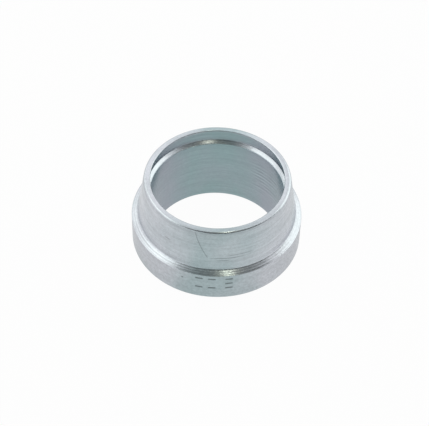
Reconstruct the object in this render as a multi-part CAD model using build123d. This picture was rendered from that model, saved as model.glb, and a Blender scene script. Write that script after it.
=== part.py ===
from build123d import *
import os
from math import radians, tan

# Cutting ring for a 24 degree cone fitting on hydraulic tube, turned from one piece of steel.
# It stands on its rear face. The origin is the middle of that face, and +Z runs along the ring's
# axis, towards the end that the nut drives into the fitting's cone. All sizes are millimetres.

# the tube, and how loosely the ring slides over it, on the diameter
tube_diameter = 15.0
bore_play = 0.15
lip_play = 0.06

# the collar that the nut pushes, with a 45 degree bevel on its rear side
collar_diameter = 19.5
collar_length = 3.53
nut_bevel = 1.64

# the shoulder in front of the collar, which slopes down to the foot of the taper
shoulder_step = 0.71
shoulder_angle = 32.4

# the taper that wedges into the cone, from the shoulder to the front face
overall_length = 10.75
taper_angle = 8.75

# the inside of the front end: the lip that bites first, the recess behind it that takes up the
# raised metal of the tube, and the flank down to the second edge, where the bore begins
lip_land = 0.20
lip_flank = 0.40
recess_depth = 0.425
recess_foot = 8.88
second_edge = 8.54

# edge rounding and the lead-in for the tube
edge_rounding = 0.10
foot_rounding = 0.22
front_rounding = 0.35
lip_rounding = 0.10
recess_rounding = 0.08
lead_in = 0.20

bore_radius = (tube_diameter + bore_play) / 2
lip_radius = (tube_diameter + lip_play) / 2
recess_radius = bore_radius + recess_depth
collar_radius = collar_diameter / 2
collar_front = nut_bevel + collar_length
taper_foot_radius = collar_radius - shoulder_step
taper_foot = collar_front + shoulder_step * tan(radians(shoulder_angle))
front_radius = taper_foot_radius - (overall_length - taper_foot) * tan(radians(taper_angle))
lip_back = overall_length - lip_land

# Half of the ring's section. Each corner is its distance from the axis, its height and its
# rounding. They run round the section, out across the rear face and back in at the front.
rear_corners = [
    (bore_radius, lead_in, 0),
    (bore_radius + lead_in, 0, 0),
    (collar_radius - nut_bevel, 0, edge_rounding),
    (collar_radius, nut_bevel, edge_rounding),
    (collar_radius, collar_front, edge_rounding),
]
taper_corners = [
    (taper_foot_radius, taper_foot, foot_rounding),
    (front_radius, overall_length, front_rounding),
]
cutting_corners = [
    (lip_radius, overall_length, lip_rounding),
    (lip_radius, lip_back, 0),
    (recess_radius, lip_back - lip_flank, recess_rounding),
    (recess_radius, recess_foot, recess_rounding),
    (bore_radius, second_edge, 0),
]
corners = rear_corners + taper_corners + cutting_corners

with BuildPart() as cutting_ring:
    with BuildSketch(Plane.XZ):
        with BuildLine():
            FilletPolyline(
                *[(radius, height) for radius, height, rounding in corners],
                radius=[rounding for radius, height, rounding in corners],
                close=True,
            )
        make_face()
    revolve(axis=Axis.Z)

os.makedirs("parts", exist_ok=True)
export_step(cutting_ring.part, "parts/cutting_ring.step")
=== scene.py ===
import math
import bpy
import numpy as np
from mathutils import Matrix, Vector


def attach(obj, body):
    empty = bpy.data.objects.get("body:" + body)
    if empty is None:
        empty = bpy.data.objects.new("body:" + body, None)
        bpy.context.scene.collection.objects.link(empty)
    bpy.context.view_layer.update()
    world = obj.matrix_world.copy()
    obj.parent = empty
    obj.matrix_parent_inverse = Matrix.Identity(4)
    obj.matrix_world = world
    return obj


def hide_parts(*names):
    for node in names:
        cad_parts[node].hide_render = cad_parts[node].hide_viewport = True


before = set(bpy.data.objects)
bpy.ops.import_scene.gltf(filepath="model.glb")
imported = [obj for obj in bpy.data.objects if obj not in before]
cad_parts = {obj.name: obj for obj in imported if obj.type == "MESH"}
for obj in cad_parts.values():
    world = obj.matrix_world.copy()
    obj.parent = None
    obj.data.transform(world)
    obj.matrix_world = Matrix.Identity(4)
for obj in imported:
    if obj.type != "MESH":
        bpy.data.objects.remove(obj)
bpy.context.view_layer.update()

# A cutting ring for hydraulic tube: one turned and zinc plated steel ring that stands on its
# rear face. Sizes in the settings are millimetres, and Blender's own units are metres.

ringNode = "cutting_ring"
mm = 0.001
tolerance = 0.001              # millimetres; a point closer than this is on the surface


def hexColour(code):
    # sRGB hex to linear: below 0.04045 a straight line, above it the power curve
    parts = [int(code[i:i + 2], 16) / 255 for i in (1, 3, 5)]
    linear = [p / 12.92 if p <= 0.04045 else ((p + 0.055) / 1.055) ** 2.4 for p in parts]
    return (*linear, 1.0)


def addNode(tree, kind, links=None, values=None, **settings):
    # one node: settings are its properties, values its socket numbers, links its incoming wires
    node = tree.nodes.new(kind)
    for name, value in settings.items():
        setattr(node, name, value)
    for socket, value in (values or {}).items():
        node.inputs[socket].default_value = value
    for socket, (source, output) in (links or {}).items():
        tree.links.new(source.outputs[output], node.inputs[socket])
    return node


def newMaterial(name):
    material = bpy.data.materials.new(name)
    material.use_nodes = True
    material.node_tree.nodes.clear()
    return material, material.node_tree


# The camera

cameraSettings = {
    "imageSize": (429, 426),        # pixels
    "elevation": 47.72,             # degrees above the horizon, looking along +Y
    "roll": 1.48,                   # degrees that the ring's axis leans to the right
    "distance": 145.3,              # from the target
    "nearest": 5,                   # nothing is seen closer than this
    "targetHeight": 5.17,           # on the ring's axis, level with the collar's upper edge
    "targetPixel": (216.63, 211.26),
    "pixelsPerMm": 8.706,           # at the target
    "sensorWidth": 36.0,
}


def makeCamera():
    s = cameraSettings
    e, roll = math.radians(s["elevation"]), math.radians(s["roll"])
    back = Vector((0, -math.cos(e), math.sin(e)))
    flatUp = Vector((0, math.sin(e), math.cos(e)))
    flatRight = Vector((1, 0, 0))
    right = math.cos(roll) * flatRight + math.sin(roll) * flatUp
    up = math.cos(roll) * flatUp - math.sin(roll) * flatRight
    width, height = s["imageSize"]
    offRight = (s["targetPixel"][0] - width / 2) / s["pixelsPerMm"]
    offUp = (height / 2 - s["targetPixel"][1]) / s["pixelsPerMm"]
    target = Vector((0, 0, s["targetHeight"]))
    place = target + back * s["distance"] - right * offRight - up * offUp
    turned = Matrix((right, up, back)).transposed().to_4x4()
    data = bpy.data.cameras.new("camera")
    data.sensor_width = s["sensorWidth"]
    data.lens = s["distance"] * s["pixelsPerMm"] / width * s["sensorWidth"]
    data.clip_start = s["nearest"] * mm
    camera = bpy.data.objects.new("camera", data)
    camera.matrix_world = Matrix.Translation(place * mm) @ turned
    bpy.context.scene.collection.objects.link(camera)
    bpy.context.scene.camera = camera


makeCamera()
print("camera set")


# The ring

ringSizes = {
    "bore": 7.575,             # radii
    "lip": 7.53,
    "recess": 8.0,
    "rearFace": 8.11,
    "collar": 9.746,
    "taperFoot": 9.04,
    "front": 8.25,
    "leadIn": 0.2,             # heights above the rear face
    "nutBevel": 1.64,
    "collarFront": 5.17,
    "taperFootHeight": 5.62,
    "secondEdge": 8.54,
    "recessFoot": 8.88,
    "recessTop": 10.15,
    "lipBack": 10.55,
    "length": 10.75,
    "edgeRounding": 0.1,       # roundings of the corners
    "footRounding": 0.22,
    "frontRounding": 0.35,
    "lipRounding": 0.1,
    "recessRounding": 0.08,
    "sharpRounding": 0.02,     # of the corners that look sharp
    "arcStep": 0.2,            # radians between the points of a rounding
    "fewestSteps": 3,
}


def ringProfile():
    # The section's corners, from the bore round by the rear face, the collar and the taper to the
    # lip and the recess. Each has a radius, a height, a rounding and the spacing of the points on
    # the straight that follows it.
    r = ringSizes
    corners = [
        (r["bore"], r["secondEdge"], r["sharpRounding"], 0.9),
        (r["bore"], r["leadIn"], r["sharpRounding"], 0.1),
        (r["bore"] + r["leadIn"], 0, r["sharpRounding"], 0.2),
        (r["rearFace"], 0, r["edgeRounding"], 0.3),
        (r["collar"], r["nutBevel"], r["edgeRounding"], 0.06),
        (r["collar"], r["collarFront"], r["edgeRounding"], 0.03),
        (r["taperFoot"], r["taperFootHeight"], r["footRounding"], 0.35),
        (r["front"], r["length"], r["frontRounding"], 0.1),
        (r["lip"], r["length"], r["lipRounding"], 0.05),
        (r["lip"], r["lipBack"], r["sharpRounding"], 0.1),
        (r["recess"], r["recessTop"], r["recessRounding"], 0.3),
        (r["recess"], r["recessFoot"], r["recessRounding"], 0.1),
    ]
    points = []
    for i, (radius, height, rounding, spacing) in enumerate(corners):
        here = np.array([radius, height])
        before = np.array(corners[i - 1][:2]) - here
        after = np.array(corners[(i + 1) % len(corners)][:2]) - here
        a, b = before / np.linalg.norm(before), after / np.linalg.norm(after)
        half = math.acos(np.clip(a @ b, -1, 1)) / 2
        reach = rounding / math.tan(half)
        middle = here + (a + b) / np.linalg.norm(a + b) * rounding / math.sin(half)
        # the arc: from one tangent point to the other, evenly turned about the middle
        turn = math.pi - 2 * half
        steps = max(r["fewestSteps"], math.ceil(turn / r["arcStep"]))
        share = np.linspace(0, 1, steps + 1)[:, None]
        start, end = here + a * reach - middle, here + b * reach - middle
        arc = (np.sin((1 - share) * turn) * start + np.sin(share * turn) * end) / math.sin(turn)
        points.append(middle + arc)
        # the straight to the next corner's rounding
        nextCorner = corners[(i + 1) % len(corners)]
        onward = np.array(corners[(i + 2) % len(corners)][:2]) - np.array(nextCorner[:2])
        nextHalf = math.acos(np.clip(-b @ onward / np.linalg.norm(onward), -1, 1)) / 2
        stop = np.linalg.norm(after) - nextCorner[2] / math.tan(nextHalf)
        count = max(1, round((stop - reach) / spacing))
        along = np.linspace(reach, stop, count + 1)[1:-1, None]
        points.append(here + b * along)
    return np.concatenate(points)


# plain punched bars and a dot on the front of the collar
marks = {
    "from": -31.0, "to": 17.0,              # degrees round the front where the columns are fine
    "fineStep": 0.3, "step": 1.0,           # degrees
    "groups": {-10.5: 2, -2.0: 2, 9.3: 3},  # each group's middle in degrees, and its bars
    "low": 3.2, "high": 4.65,               # heights of a group's lowest and highest bar
    "long": 0.95, "thick": 0.26, "deep": 0.06,
    "steep": 1.6,                           # how much faster than a plain cone the sides go down
    "dot": (-22.0, 4.2),                    # degrees and height
}

# painted shade: how much greyer some places are than the rest, as shares of a mark's grey: the
# collar's sides, the front of the rim, and the bottoms of the turning lines
paintedShade = {"collar": 0.2, "rim": 0.2, "ripple": 0.2}

# turning lines left on the shoulder's slope: a ripple along the section, coarser than a real one
ripple = {"high": 0.004, "period": 0.27}

# The tint of the inside covers the bore and the recess and leaves out the flank between them. It
# goes past the recess's radius and the bore's end, and stops short of the recess's foot, by this.
insideMargin = {"recess": 0.01, "bore": 0.01, "foot": 0.05}


def ringAngles():
    # angles round the ring, measured from the front towards the right, fine where it is marked
    fine = np.arange(marks["from"], marks["to"], marks["fineStep"])
    rest = marks["from"] + 360 - marks["to"]
    coarse = marks["to"] + np.linspace(0, rest, round(rest / marks["step"]), endpoint=False)
    return np.radians(np.concatenate([fine, coarse]))


def punched(angle, height):
    # depth at a point of the collar: each mark is full depth in its middle and runs out evenly
    m = marks
    depth = np.zeros_like(angle)
    shapes = [(turn, z, m["long"] / 2) for turn, bars in m["groups"].items()
              for z in np.linspace(m["low"], m["high"], bars)]
    for turn, z, half in shapes + [(*m["dot"], m["thick"] / 2)]:
        along = np.abs(angle - math.radians(turn)) * ringSizes["collar"] - half + m["thick"] / 2
        off = np.hypot(np.maximum(along, 0), height - z) / (m["thick"] / 2)
        depth = np.maximum(depth, m["deep"] * np.clip(m["steep"] * (1 - off), 0, 1))
    return depth


def rippleDepth(profile):
    # how far each point of the shoulder's slope sinks along its normal, by a cosine of its place
    r = ringSizes
    start = np.array([r["collar"], r["collarFront"]])
    slope = np.array([r["taperFoot"], r["taperFootHeight"]]) - start
    length = np.linalg.norm(slope)
    along = (profile - start) @ slope / length
    normal = np.array([slope[1], -slope[0]]) / length
    on = (np.abs((profile - start) @ normal) < tolerance) & (along > 0) & (along < length)
    wave = 0.5 * ripple["high"] * (1 - np.cos(2 * math.pi * along / ripple["period"]))
    return np.where(on, wave, 0), normal


def makeRing():
    # Each point is (R sin t, -R cos t, z): the section's radius R and height z carried round the
    # axis by the angle t. The last column joins the first, and the section is closed.
    r = ringSizes
    profile = ringProfile()
    sunk, normal = rippleDepth(profile)
    profile = profile - sunk[:, None] * normal
    t = ringAngles()
    radius = np.repeat(profile[:, 0][None], len(t), 0)
    height = np.repeat(profile[:, 1][None], len(t), 0)
    across = np.concatenate([[0], np.cumsum(np.linalg.norm(np.diff(profile, axis=0), axis=1))])
    angle = np.repeat(t[:, None], len(profile), 1)
    plain = (radius > r["collar"] - tolerance) & (height > r["nutBevel"])
    punch = np.where(plain, punched(angle, height), 0)
    radius = radius - punch
    points = np.stack([radius * np.sin(angle), -radius * np.cos(angle), height], -1) * mm
    rows, columns = len(t), len(profile)
    number = np.arange(rows * columns).reshape(rows, columns)
    beside = np.roll(number, -1, 0)
    faces = np.stack([number, beside, np.roll(beside, -1, 1), np.roll(number, -1, 1)], -1)
    mesh = bpy.data.meshes.new("ring")
    mesh.from_pydata(points.reshape(-1, 3), [], faces.reshape(-1, 4).tolist())

    # the way round the ring as a cosine and a sine, and the way along the section
    turned = np.stack([np.cos(angle), np.sin(angle), np.repeat(across[None], rows, 0)], -1)
    path = mesh.attributes.new("turned", "FLOAT_VECTOR", "POINT")
    path.data.foreach_set("vector", turned.astype(np.float32).ravel())

    # where the tint of the inside and the collar's grain are, and the painted shade of the punched
    # marks, the turning lines' bottoms, the collar's sides and the rim's front
    within = (radius < r["recess"] + insideMargin["recess"]) & (height < r["lipBack"])
    inBore = height < r["secondEdge"] + insideMargin["bore"]
    inRecess = height > r["recessFoot"] + insideMargin["foot"]
    front = height > r["length"] - r["frontRounding"]
    collarShade = paintedShade["collar"] * plain * np.abs(np.sin(angle))
    rimShade = paintedShade["rim"] * front * (1 + np.cos(angle)) / 2
    rippleShade = paintedShade["ripple"] * sunk[None] / ripple["high"]
    # painted shade: greyer in the punched marks and the turning lines' bottoms, on the collar's
    # left and right sides and on the front of the rim's rounded edge
    shadeShare = punch / marks["deep"] + rippleShade + collarShade + rimShade
    shares = {"inside": within & (inBore | inRecess), "grainy": plain, "shadeShare": shadeShare}
    for name, values in shares.items():
        attribute = mesh.attributes.new(name, "FLOAT", "POINT")
        attribute.data.foreach_set("value", values.astype(np.float32).ravel())
    mesh.shade_smooth()
    mesh.update()
    ring = bpy.data.objects.new("ring", mesh)
    bpy.context.scene.collection.objects.link(ring)
    print("ring:", len(mesh.polygons) * 2, "triangles")
    return ring


# Zinc plated turned steel: bright zinc with a clear bluish passivation over fine tool marks. It
# gives soft, pale grey reflections that are drawn out across the marks, faint lines round the
# ring, and a slightly greener tone inside. On the collar, grain takes the place of some lines.
# Real lines are about 0.1 mm apart and real grain is about 0.05 mm wide. Both are too fine to show
# in the render, so they are drawn coarser.
zincSettings = {
    # The lavender is lighter than the greenish, so the left and right sides as the camera sees them
    # carry painted light along with the passivation's hue.
    "greenish": "#AFBFC3",     # round the middle
    "lavender": "#D2D6DD",     # towards both sides
    "inside": "#A3BBBE",       # round the middle of the bore
    "insideSides": "#B2BAC4",  # towards both sides of the bore
    "sides": (1.5, 6.5),       # where the one goes over into the other, off the middle
    "sidesInside": (3.0, 6.0),
    "patches": 0.18,           # uneven tint: cells in a millimetre
    "patchSpread": (0.3, 0.7),  # of the noise, and how far it shifts the tint either way
    "patchShift": 0.35,
    "roughness": 0.27,
    "drawnOut": 0.6, "drawnTurn": 0.25,    # blur across the marks, a quarter turn from along
    "lines": (1.2, 1.2, 3.5),  # cells round the ring over 2 pi, and along a millimetre of section
    "lineTone": 0.13, "lineDepth": 0.01,
    "grain": 3.0,              # cells in a millimetre
    "grainTone": 0.08, "grainDepth": 0.005,
    "toneSpread": (0.25, 0.75),    # of the noise that gives the tones of lines and grain
    # painted shade: the tone is darkened to this share in the punched marks, the turning lines'
    # bottoms, the collar's sides and the rim's front
    "shadeTone": 0.38,          # share of the tone left at the bottom of a mark
    "smoothInside": 0.5,       # share of the lines and grain that the bore is without
    "evenCollar": 0.55,        # share of the lines that the collar has as grain instead
}


def fadeAbout(tree, source, middle, full, end, top=1.0):
    # top while the value is within full of the middle, then evenly down to 0 at end
    off = addNode(tree, "ShaderNodeMath", {0: source}, {1: middle}, operation="SUBTRACT")
    off = addNode(tree, "ShaderNodeMath", {0: (off, 0)}, operation="ABSOLUTE")
    return addNode(tree, "ShaderNodeMapRange", {"Value": (off, 0)},
                   {"From Min": full, "From Max": end, "To Min": top, "To Max": 0.0})


# handling scratches on the taper: one that leans down to the right, and short ones round the ring
scratches = {
    "wide": 0.1, "tone": 0.6,                              # half the width, and the tone
    "leanFrom": (-15.8, 10.72), "leanTo": (-5.8, 7.24),    # degrees and height
    "top": 10.45, "bend": 1.42,                            # where it stops, and its curve
    "arcs": ((7.15, -6, 21), (6.87, 0, 11), (7.5, 6, 30), (8.1, -41, -35)),  # height, from and to
}


def scratchTone(tree, spot, angle, within):
    # the tone that the scratches leave: 1 away from them, and inside the ring
    c = scratches
    (turn0, top), (turn1, low) = c["leanFrom"], c["leanTo"]
    down = addNode(tree, "ShaderNodeMapRange", {"Value": (spot, "Z")},
                   {"From Min": top * mm, "From Max": low * mm})
    bent = addNode(tree, "ShaderNodeMath", {0: (down, 0)}, {1: c["bend"]}, operation="POWER")
    wanted = addNode(tree, "ShaderNodeMapRange", {"Value": (bent, 0)},
                     {"To Min": math.radians(turn0), "To Max": math.radians(turn1)})
    off = addNode(tree, "ShaderNodeMath", {0: (angle, 0), 1: (wanted, 0)}, operation="SUBTRACT")
    line = fadeAbout(tree, (off, 0), 0.0, 0.0, c["wide"] / ringSizes["taperFoot"])
    above = addNode(tree, "ShaderNodeMath", {0: (spot, "Z")}, {1: low * mm},
                    operation="GREATER_THAN")
    below = addNode(tree, "ShaderNodeMath", {0: (spot, "Z")}, {1: c["top"] * mm},
                    operation="LESS_THAN")
    mask = addNode(tree, "ShaderNodeMath", {0: (line, 0), 1: (above, 0)}, operation="MULTIPLY")
    mask = addNode(tree, "ShaderNodeMath", {0: (mask, 0), 1: (below, 0)}, operation="MULTIPLY")
    for height, start, end in c["arcs"]:
        middle, half = math.radians(start + end) / 2, math.radians(end - start) / 2
        near = fadeAbout(tree, (spot, "Z"), height * mm, 0.0, c["wide"] * mm)
        along = fadeAbout(tree, (angle, 0), middle, half / 2, half)
        arc = addNode(tree, "ShaderNodeMath", {0: (near, 0), 1: (along, 0)}, operation="MULTIPLY")
        mask = addNode(tree, "ShaderNodeMath", {0: (mask, 0), 1: (arc, 0)}, operation="MAXIMUM")
    outside = addNode(tree, "ShaderNodeMath", {1: (within, "Fac")}, {0: 1.0}, operation="SUBTRACT")
    mask = addNode(tree, "ShaderNodeMath", {0: (mask, 0), 1: (outside, 0)}, operation="MULTIPLY")
    return addNode(tree, "ShaderNodeMapRange", {"Value": (mask, 0)},
                   {"To Min": 1.0, "To Max": c["tone"]})


# slightly slanting chatter marks of the boring tool, coarser than real ones, in a patch on the
# right of the bore
chatter = {
    "period": 0.5, "slant": -0.12, "tone": 0.15,    # millimetres, slope, and share of the tone
    "from": 108, "to": 150,                         # degrees round the ring
    "low": 1.0, "high": 6.0,                        # below the second edge
    "patches": 4.0, "patchSpread": (0.4, 0.55),     # the noise that breaks them up
}


def chatterTone(tree, turned, path, angle, within):
    # stripes across slanting lines, which come and go with a noise and stay inside the patch
    c = chatter
    turn = 2 * math.pi / c["period"]
    sideways = addNode(tree, "ShaderNodeMath", {0: (angle, 0)},
                       {1: turn * c["slant"] * ringSizes["bore"]}, operation="MULTIPLY")
    down = addNode(tree, "ShaderNodeMath", {0: (path, "Z"), 2: (sideways, 0)}, {1: turn},
                   operation="MULTIPLY_ADD")
    wave = addNode(tree, "ShaderNodeMath", {0: (down, 0)}, operation="SINE")
    patchy = addNode(tree, "ShaderNodeTexNoise", {"Vector": (turned, "Vector")},
                     {"Scale": c["patches"], "Detail": 1.0})
    shown = addNode(tree, "ShaderNodeMapRange", {"Value": (patchy, "Fac")},
                    {"From Min": c["patchSpread"][0], "From Max": c["patchSpread"][1]})
    half = math.radians(c["to"] - c["from"]) / 2
    across = fadeAbout(tree, (angle, 0), math.radians(c["from"] + c["to"]) / 2,
                       half / 2, half, c["tone"])
    reach = (c["high"] - c["low"]) / 2
    depth = fadeAbout(tree, (path, "Z"), (c["low"] + c["high"]) / 2, reach / 2, reach)
    for share in ((across, 0), (shown, 0), (within, "Fac")):
        depth = addNode(tree, "ShaderNodeMath", {0: (depth, 0), 1: share}, operation="MULTIPLY")
    return addNode(tree, "ShaderNodeMath", {0: (wave, 0), 1: (depth, 0)}, {2: 1.0},
                   operation="MULTIPLY_ADD")


def zincTint(tree, place, spot, within):
    # greenish round the middle and a lighter lavender towards the left and right sides, with an
    # uneven border: the passivation's hue, with painted light on the sides
    z = zincSettings
    aside = addNode(tree, "ShaderNodeMath", {0: (spot, "X")}, operation="ABSOLUTE")
    outer, inner = [addNode(tree, "ShaderNodeMapRange", {"Value": (aside, 0)},
                            {"From Min": start * mm, "From Max": end * mm})
                    for start, end in (z["sides"], z["sidesInside"])]
    share = addNode(tree, "ShaderNodeMix", {0: (within, "Fac"), 2: (outer, 0), 3: (inner, 0)})
    patches = addNode(tree, "ShaderNodeTexNoise", {"Vector": (place, "Object")},
                      {"Scale": z["patches"] / mm, "Detail": 2.0, "Roughness": 0.5})
    uneven = addNode(tree, "ShaderNodeMapRange", {"Value": (patches, "Fac")},
                     {"From Min": z["patchSpread"][0], "From Max": z["patchSpread"][1],
                      "To Min": -z["patchShift"], "To Max": z["patchShift"]})
    mixed = addNode(tree, "ShaderNodeMath", {0: (share, 0), 1: (uneven, 0)}, operation="ADD",
                    use_clamp=True)
    middle = addNode(tree, "ShaderNodeMix", {0: (within, "Fac")},
                     {6: hexColour(z["greenish"]), 7: hexColour(z["inside"])}, data_type="RGBA")
    edges = addNode(tree, "ShaderNodeMix", {0: (within, "Fac")},
                    {6: hexColour(z["lavender"]), 7: hexColour(z["insideSides"])},
                    data_type="RGBA")
    return addNode(tree, "ShaderNodeMix", {0: (mixed, 0), 6: (middle, 2), 7: (edges, 2)},
                   data_type="RGBA")


def zincMaterial():
    z = zincSettings
    material, tree = newMaterial("zincPlatedTurnedSteel")
    place = addNode(tree, "ShaderNodeTexCoord")
    turned = addNode(tree, "ShaderNodeAttribute", attribute_name="turned")
    within = addNode(tree, "ShaderNodeAttribute", attribute_name="inside")
    shadeShare = addNode(tree, "ShaderNodeAttribute", attribute_name="shadeShare")
    grainy = addNode(tree, "ShaderNodeAttribute", attribute_name="grainy")
    spot = addNode(tree, "ShaderNodeSeparateXYZ", {0: (place, "Object")})
    path = addNode(tree, "ShaderNodeSeparateXYZ", {0: (turned, "Vector")})
    angle = addNode(tree, "ShaderNodeMath", {0: (path, "Y"), 1: (path, "X")}, operation="ARCTAN2")
    tint = zincTint(tree, place, spot, within)

    # lines round the ring and an even grain, as tones about 1
    rounded = addNode(tree, "ShaderNodeMapping", {"Vector": (turned, "Vector")},
                      {"Scale": z["lines"]})
    lines = addNode(tree, "ShaderNodeTexNoise", {"Vector": (rounded, "Vector")},
                    {"Scale": 1.0, "Detail": 3.0, "Roughness": 0.6})
    grain = addNode(tree, "ShaderNodeTexNoise", {"Vector": (place, "Object")},
                    {"Scale": z["grain"] / mm, "Detail": 2.0, "Roughness": 0.6})
    lineTone, grainTone = [
        addNode(tree, "ShaderNodeMapRange", {"Value": (noise, "Fac")},
                {"From Min": z["toneSpread"][0], "From Max": z["toneSpread"][1],
                 "To Min": 1 - strength, "To Max": 1 + strength})
        for noise, strength in ((lines, z["lineTone"]), (grain, z["grainTone"]))]

    # the collar has more grain and fewer lines, and the bore has less of both
    even = addNode(tree, "ShaderNodeMath", {0: (grainy, "Fac")}, {1: z["evenCollar"]},
                   operation="MULTIPLY")
    fewer = addNode(tree, "ShaderNodeMix", {0: (even, 0), 2: (lineTone, 0)}, {3: 1.0})
    more = addNode(tree, "ShaderNodeMix", {0: (even, 0), 3: (grainTone, 0)}, {2: 1.0})
    tone = addNode(tree, "ShaderNodeMath", {0: (fewer, 0), 1: (grainTone, 0)},
                   operation="MULTIPLY")
    tone = addNode(tree, "ShaderNodeMath", {0: (tone, 0), 1: (more, 0)}, operation="MULTIPLY")
    calmer = addNode(tree, "ShaderNodeMath", {0: (within, "Fac")}, {1: z["smoothInside"]},
                     operation="MULTIPLY")
    tone = addNode(tree, "ShaderNodeMix", {0: (calmer, 0), 2: (tone, 0)}, {3: 1.0})

    # the tones of the chatter, the painted shade of the marks, grooves, collar sides and rim front,
    # and the scratches
    chattered = chatterTone(tree, turned, path, angle, within)
    # painted shade: the tone darkens in the punched marks, the turning lines' bottoms, the collar's
    # sides and the rim's front
    shaded = addNode(tree, "ShaderNodeMapRange", {"Value": (shadeShare, "Fac")},
                     {"To Min": 1.0, "To Max": z["shadeTone"]})
    scratched = scratchTone(tree, spot, angle, within)
    for share in (chattered, shaded, scratched):
        tone = addNode(tree, "ShaderNodeMath", {0: (tone, 0), 1: (share, 0)},
                       operation="MULTIPLY")
    colour = addNode(tree, "ShaderNodeVectorMath", {0: (tint, 2), 3: (tone, 0)}, operation="SCALE")

    lineBump = addNode(tree, "ShaderNodeBump", {"Height": (lines, "Fac")},
                       {"Distance": z["lineDepth"] * mm})
    grainBump = addNode(tree, "ShaderNodeBump", {"Height": (grain, "Fac"), "Normal": (lineBump, 0)},
                        {"Distance": z["grainDepth"] * mm})
    around = addNode(tree, "ShaderNodeTangent", direction_type="RADIAL", axis="Z")
    metal = addNode(tree, "ShaderNodeBsdfPrincipled",
                    {"Base Color": (colour, 0), "Normal": (grainBump, 0), "Tangent": (around, 0)},
                    {"Metallic": 1.0, "Roughness": z["roughness"],
                     "Anisotropic": z["drawnOut"], "Anisotropic Rotation": z["drawnTurn"]})
    addNode(tree, "ShaderNodeOutputMaterial", {"Surface": (metal, "BSDF")})
    return material


ring = makeRing()
ring.data.materials.append(zincMaterial())
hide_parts(ringNode)
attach(ring, "root")


# The floor, the white surround and the lamps

stageSettings = {
    "floorSize": 800,
    "floorGap": 0.02,          # below the rear face, so that the two don't coincide
    "floorColour": "#F2F2F2",
    "glow": 0.97,              # share of the floor's white that no shadow darkens
    "mirroredGlow": 0.6,       # the same, as the metal shows the floor
    "surround": 0.6,           # light that the surround gives; it shows as white
}


def seenShare(tree, direct, mirrored):
    # direct for what the camera sees, mirrored for what metal or glass shows, 0 for light given off
    path = addNode(tree, "ShaderNodeLightPath")
    either = addNode(tree, "ShaderNodeMath",
                     {0: (path, "Is Glossy Ray"), 1: (path, "Is Transmission Ray")},
                     operation="MAXIMUM")
    faint = addNode(tree, "ShaderNodeMath", {0: (either, 0)}, {1: mirrored}, operation="MULTIPLY")
    full = addNode(tree, "ShaderNodeMath", {0: (path, "Is Camera Ray")}, {1: direct},
                   operation="MULTIPLY")
    return addNode(tree, "ShaderNodeMath", {0: (faint, 0), 1: (full, 0)}, operation="MAXIMUM")


def makePanel(name, material, wide, high, place):
    # a flat rectangle about the origin, moved by the matrix
    corners = [(x * wide / 2, y * high / 2, 0) for x, y in ((-1, -1), (1, -1), (1, 1), (-1, 1))]
    mesh = bpy.data.meshes.new(name)
    mesh.from_pydata([place @ Vector(c) for c in corners], [], [(0, 1, 2, 3)])
    mesh.materials.append(material)
    panel = bpy.data.objects.new(name, mesh)
    bpy.context.scene.collection.objects.link(panel)
    return panel


def makeFloor():
    s = stageSettings
    material, tree = newMaterial("whitePaper")
    share = seenShare(tree, s["glow"], s["mirroredGlow"])
    paper = addNode(tree, "ShaderNodeBsdfDiffuse", values={"Color": hexColour(s["floorColour"])})
    glow = addNode(tree, "ShaderNodeEmission", values={"Color": (1, 1, 1, 1), "Strength": 1.0})
    mixed = addNode(tree, "ShaderNodeMixShader",
                    {0: (share, 0), 1: (paper, "BSDF"), 2: (glow, "Emission")})
    addNode(tree, "ShaderNodeOutputMaterial", {"Surface": (mixed, "Shader")})
    size = s["floorSize"] * mm
    below = Matrix.Translation((0, 0, -s["floorGap"] * mm))
    floor = makePanel("floor", material, size, size, below)


def makeSurround():
    world = bpy.data.worlds.new("surround")
    world.use_nodes = True
    bpy.context.scene.world = world
    tree = world.node_tree
    tree.nodes.clear()
    seen = seenShare(tree, 1.0, 1.0)
    strength = addNode(tree, "ShaderNodeMath", {0: (seen, 0)}, {1: stageSettings["surround"]},
                       operation="MAXIMUM")
    sky = addNode(tree, "ShaderNodeBackground", {"Strength": (strength, 0)},
                  {"Color": (1, 1, 1, 1)})
    addNode(tree, "ShaderNodeOutputWorld", {"Surface": (sky, "Background")})


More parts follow.
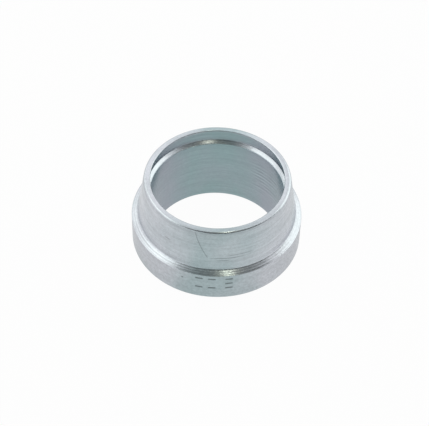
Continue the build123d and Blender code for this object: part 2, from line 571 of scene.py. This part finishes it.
# Each card or lamp: the direction it stands in, from the front towards the right and up in
# degrees, its distance, its width and height in degrees as the ring sees it, how bright it looks
# and its colour. A lamp adds to the white round it. The shoulder's front and the flank under the
# recess mirror the flag as a dark band and the gleam as a bright spot in it, and the lowFlag
# darkens the rounded edges on the right and the left end of the flank.
cards = {
    "flag": {"turn": 9, "rise": 55, "far": 260, "wide": 82, "high": 36,
             "look": 0.08, "colour": "#FFFFFF"},
    "lowFlag": {"turn": 40, "rise": 33, "far": 240, "wide": 104, "high": 26,
                "look": 0.25, "colour": "#FFFFFF"},
    "gleam": {"turn": 25, "rise": 69.5, "far": 240, "wide": 4, "high": 7,
              "look": 18.0, "colour": "#FFF4E0"},
}
lamps = {
    "sideLeft": {"turn": -103, "rise": 48, "far": 300, "wide": 54, "high": 26,
                 "look": 0.6, "colour": "#F4FFF2"},
    "sideRight": {"turn": 122, "rise": 27, "far": 300, "wide": 52, "high": 42,
                  "look": 0.6, "colour": "#F4FFF2"},
    "backLeft": {"turn": -132, "rise": 22, "far": 300, "wide": 26, "high": 24,
                 "look": 0.35, "colour": "#F4FFF2"},
    "back": {"turn": 180, "rise": 48, "far": 300, "wide": 50, "high": 40,
             "look": 0.08, "colour": "#FFFFFF"},
}


def facing(s):
    # the matrix that stands a card or lamp at its place with its face to the ring, and its size
    turn, rise = math.radians(s["turn"]), math.radians(s["rise"])
    level = Vector((math.sin(turn), -math.cos(turn), 0))
    out = level * math.cos(rise) + Vector((0, 0, math.sin(rise)))
    side = Vector((math.cos(turn), math.sin(turn), 0))
    turned = Matrix((side, out.cross(side), out)).transposed().to_4x4()
    far = s["far"] * mm
    size = [2 * far * math.tan(math.radians(s[k]) / 2) for k in ("wide", "high")]
    return Matrix.Translation(out * far) @ turned, size


def makeCards():
    for name, s in cards.items():
        place, (wide, high) = facing(s)
        material, tree = newMaterial(name + "Card")
        glow = addNode(tree, "ShaderNodeEmission",
                       values={"Color": hexColour(s["colour"]), "Strength": s["look"]})
        addNode(tree, "ShaderNodeOutputMaterial", {"Surface": (glow, "Emission")})
        card = makePanel(name, material, wide, high, place)
        card.visible_camera = False


def makeLamps():
    for name, s in lamps.items():
        place, (wide, high) = facing(s)
        data = bpy.data.lights.new(name, "AREA")
        data.shape = "RECTANGLE"
        data.size, data.size_y = wide, high
        data.color = hexColour(s["colour"])[:3]
        data.energy = s["look"] * math.pi * wide * high   # an even panel's power at that look
        lamp = bpy.data.objects.new(name, data)
        lamp.matrix_world = place
        lamp.visible_camera = False
        bpy.context.scene.collection.objects.link(lamp)


makeFloor()
makeSurround()
makeCards()
makeLamps()
bpy.context.scene.view_settings.view_transform = "Standard"
print("stage and lamps set")
